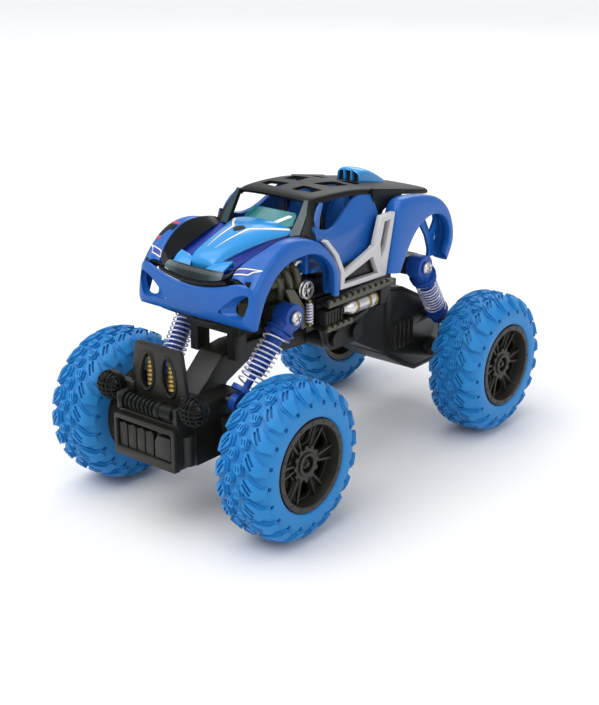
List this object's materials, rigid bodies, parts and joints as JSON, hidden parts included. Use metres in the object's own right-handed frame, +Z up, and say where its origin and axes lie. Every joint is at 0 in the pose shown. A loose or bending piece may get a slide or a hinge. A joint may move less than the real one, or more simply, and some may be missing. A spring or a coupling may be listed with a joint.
{
  "type": "toy truck",
  "caption": "Remote-controlled off-road toy truck: big lugged wheels on two sprung swing units under an open buggy body, with steering and geared rear drive.",
  "frame": {"origin": "on the ground, below the middle of the truck's overall box", "axes": "+Z up, -Y towards the truck's front, +X towards its left side"},
  "size_m": [0.1164, 0.2038, 0.1222],
  "materials": {
    "tyre_blue": "moulded blue rubber, satin",
    "rim_black": "moulded black plastic, matte",
    "body_blue": "painted blue plastic, semi-gloss",
    "shock_blue": "moulded blue plastic, satin",
    "cage_black": "moulded black plastic, satin",
    "chassis_black": "moulded black plastic, satin",
    "spring_steel": "bright drawn wire",
    "screw_steel": "zinc-plated, bright",
    "trim_silver": "silver paint, satin",
    "glass_teal": "tinted clear plastic",
    "gear_nylon": "natural nylon",
    "motor_steel": "plated steel can",
    "pack_green": "shrink-wrapped battery pack",
    "board_green": "green circuit board"
  },
  "bodies": {
    "chassis": {"chassis_frame": "chassis_black", "pivot_pin_front": "screw_steel", "pivot_pin_rear": "screw_steel", "battery_pack": "pack_green", "battery_cover": "chassis_black", "control_board": "board_green", "engine_block": "chassis_black", "running_board_left": "chassis_black", "running_board_right": "chassis_black", "body_shell": "body_blue", "grille_band": "cage_black", "rear_fenders": "body_blue", "roof_cage": "cage_black", "scoop": "body_blue", "windscreen": "glass_teal", "cabin_tub": "body_blue", "side_trim_left": "trim_silver", "side_trim_right": "trim_silver", "shock_screw_front_left": "screw_steel", "shock_screw_front_right": "screw_steel", "shock_screw_rear_left": "screw_steel", "shock_screw_rear_right": "screw_steel"},
    "front_unit": {"front_axle_housing": "chassis_black", "front_box": "chassis_black", "winch_drum": "chassis_black", "lamp_left": "chassis_black", "lamp_right": "chassis_black", "steering_servo": "chassis_black"},
    "steer_arm": {"servo_arm": "gear_nylon"},
    "steer_rack": {"steering_rack": "gear_nylon"},
    "steer_left": {"knuckle_left": "chassis_black"},
    "front_wheel_left": {"tyre_front_left": "tyre_blue", "rim_front_left": "rim_black"},
    "steer_right": {"knuckle_right": "chassis_black"},
    "front_wheel_right": {"tyre_front_right": "tyre_blue", "rim_front_right": "rim_black"},
    "rear_unit": {"rear_gearbox": "chassis_black", "rear_gearbox_cover": "chassis_black", "drive_motor": "motor_steel"},
    "rear_wheels": {"rear_axle": "screw_steel", "axle_gear": "gear_nylon", "tyre_rear_left": "tyre_blue", "rim_rear_left": "rim_black", "tyre_rear_right": "tyre_blue", "rim_rear_right": "rim_black"},
    "idler": {"idler_gear": "gear_nylon"},
    "pinion": {"motor_pinion": "gear_nylon"},
    "switch": {"power_switch": "chassis_black"},
    "shock_upper_front_left": {"shock_cap_front_left": "shock_blue", "spring_front_left": "spring_steel"},
    "shock_lower_front_left": {"shock_rod_front_left": "shock_blue"},
    "shock_upper_front_right": {"shock_cap_front_right": "shock_blue", "spring_front_right": "spring_steel"},
    "shock_lower_front_right": {"shock_rod_front_right": "shock_blue"},
    "shock_upper_rear_left": {"shock_cap_rear_left": "shock_blue", "spring_rear_left": "spring_steel"},
    "shock_lower_rear_left": {"shock_rod_rear_left": "shock_blue"},
    "shock_upper_rear_right": {"shock_cap_rear_right": "shock_blue", "spring_rear_right": "spring_steel"},
    "shock_lower_rear_right": {"shock_rod_rear_right": "shock_blue"}
  },
  "joints": [
    {"name": "front_unit_pitch", "type": "hinge", "parent": "chassis", "child": "front_unit", "pos_m": [0, -0.007, 0.057], "axis": [-1, 0, 0], "range_deg": [0, 8], "stiffness_Nm_per_rad": 1.2, "springref_deg": -17.19},
    {"name": "rear_unit_pitch", "type": "hinge", "parent": "chassis", "child": "rear_unit", "pos_m": [0, 0.007, 0.057], "axis": [1, 0, 0], "range_deg": [0, 8], "stiffness_Nm_per_rad": 1.2, "springref_deg": -17.19},
    {"name": "knuckle_left_steer", "type": "hinge", "parent": "front_unit", "child": "steer_left", "pos_m": [0.026, -0.0699, 0.032], "axis": [0, 0, 1], "range_deg": [-10, 10]},
    {"name": "knuckle_right_steer", "type": "hinge", "parent": "front_unit", "child": "steer_right", "pos_m": [-0.026, -0.0699, 0.032], "axis": [0, 0, 1], "range_deg": [-10, 10]},
    {"name": "steering_rack_slide", "type": "slide", "parent": "front_unit", "child": "steer_rack", "axis": [-1, 0, 0], "range_m": [-0.0023, 0.0023]},
    {"name": "servo_arm_turn", "type": "hinge", "parent": "front_unit", "child": "steer_arm", "pos_m": [0, -0.066, 0.03], "axis": [0, 0, 1], "range_deg": [-15, 15]},
    {"name": "front_wheel_left_spin", "type": "hinge", "parent": "steer_left", "child": "front_wheel_left", "pos_m": [0.0455, -0.0699, 0.032], "axis": [1, 0, 0], "continuous": true},
    {"name": "front_wheel_right_spin", "type": "hinge", "parent": "steer_right", "child": "front_wheel_right", "pos_m": [-0.0455, -0.0699, 0.032], "axis": [1, 0, 0], "continuous": true},
    {"name": "rear_wheels_spin", "type": "hinge", "parent": "rear_unit", "child": "rear_wheels", "pos_m": [0, 0.0699, 0.032], "axis": [1, 0, 0], "continuous": true},
    {"name": "idler_gear_spin", "type": "hinge", "parent": "rear_unit", "child": "idler", "pos_m": [0, 0.06353, 0.03763], "axis": [1, 0, 0], "continuous": true},
    {"name": "motor_pinion_spin", "type": "hinge", "parent": "rear_unit", "child": "pinion", "pos_m": [0, 0.05717, 0.04326], "axis": [1, 0, 0], "continuous": true},
    {"name": "shock_front_left_swing", "type": "hinge", "parent": "chassis", "child": "shock_upper_front_left", "pos_m": [0.025, -0.045, 0.078], "axis": [-1, 0, 0], "range_deg": [0, 10.98]},
    {"name": "shock_front_left_slide", "type": "slide", "parent": "shock_upper_front_left", "child": "shock_lower_front_left", "axis": [0.122, 0.6354, 0.7625], "range_m": [0, 0.0061], "deforming": ["spring_front_left"]},
    {"name": "shock_front_right_swing", "type": "hinge", "parent": "chassis", "child": "shock_upper_front_right", "pos_m": [-0.025, -0.045, 0.078], "axis": [-1, 0, 0], "range_deg": [0, 10.98]},
    {"name": "shock_front_right_slide", "type": "slide", "parent": "shock_upper_front_right", "child": "shock_lower_front_right", "axis": [-0.122, 0.6354, 0.7625], "range_m": [0, 0.0061], "deforming": ["spring_front_right"]},
    {"name": "shock_rear_left_swing", "type": "hinge", "parent": "chassis", "child": "shock_upper_rear_left", "pos_m": [0.025, 0.045, 0.078], "axis": [1, 0, 0], "range_deg": [0, 10.98]},
    {"name": "shock_rear_left_slide", "type": "slide", "parent": "shock_upper_rear_left", "child": "shock_lower_rear_left", "axis": [0.122, -0.6354, 0.7625], "range_m": [0, 0.0061], "deforming": ["spring_rear_left"]},
    {"name": "shock_rear_right_swing", "type": "hinge", "parent": "chassis", "child": "shock_upper_rear_right", "pos_m": [-0.025, 0.045, 0.078], "axis": [1, 0, 0], "range_deg": [0, 10.98]},
    {"name": "shock_rear_right_slide", "type": "slide", "parent": "shock_upper_rear_right", "child": "shock_lower_rear_right", "axis": [-0.122, -0.6354, 0.7625], "range_m": [0, 0.0061], "deforming": ["spring_rear_right"]},
    {"name": "power_switch_slide", "type": "slide", "parent": "chassis", "child": "switch", "axis": [0, 1, 0], "range_m": [0, 0.004]}
  ],
  "couplings": [
    {"joint": "knuckle_right_steer", "follows": "knuckle_left_steer", "ratio": 1},
    {"joint": "steering_rack_slide", "follows": "knuckle_left_steer", "m_per_rad": 0.0124},
    {"joint": "servo_arm_turn", "follows": "knuckle_left_steer", "ratio": 1.4588},
    {"joint": "idler_gear_spin", "follows": "rear_wheels_spin", "ratio": -2.4},
    {"joint": "motor_pinion_spin", "follows": "rear_wheels_spin", "ratio": 5.76},
    {"joint": "shock_front_left_swing", "follows": "front_unit_pitch", "ratio": 1.3353},
    {"joint": "shock_front_left_slide", "follows": "front_unit_pitch", "m_per_rad": 0.0413},
    {"joint": "shock_front_right_swing", "follows": "front_unit_pitch", "ratio": 1.3353},
    {"joint": "shock_front_right_slide", "follows": "front_unit_pitch", "m_per_rad": 0.0413},
    {"joint": "shock_rear_left_swing", "follows": "rear_unit_pitch", "ratio": 1.3353},
    {"joint": "shock_rear_left_slide", "follows": "rear_unit_pitch", "m_per_rad": 0.0413},
    {"joint": "shock_rear_right_swing", "follows": "rear_unit_pitch", "ratio": 1.3353},
    {"joint": "shock_rear_right_slide", "follows": "rear_unit_pitch", "m_per_rad": 0.0413}
  ]
}
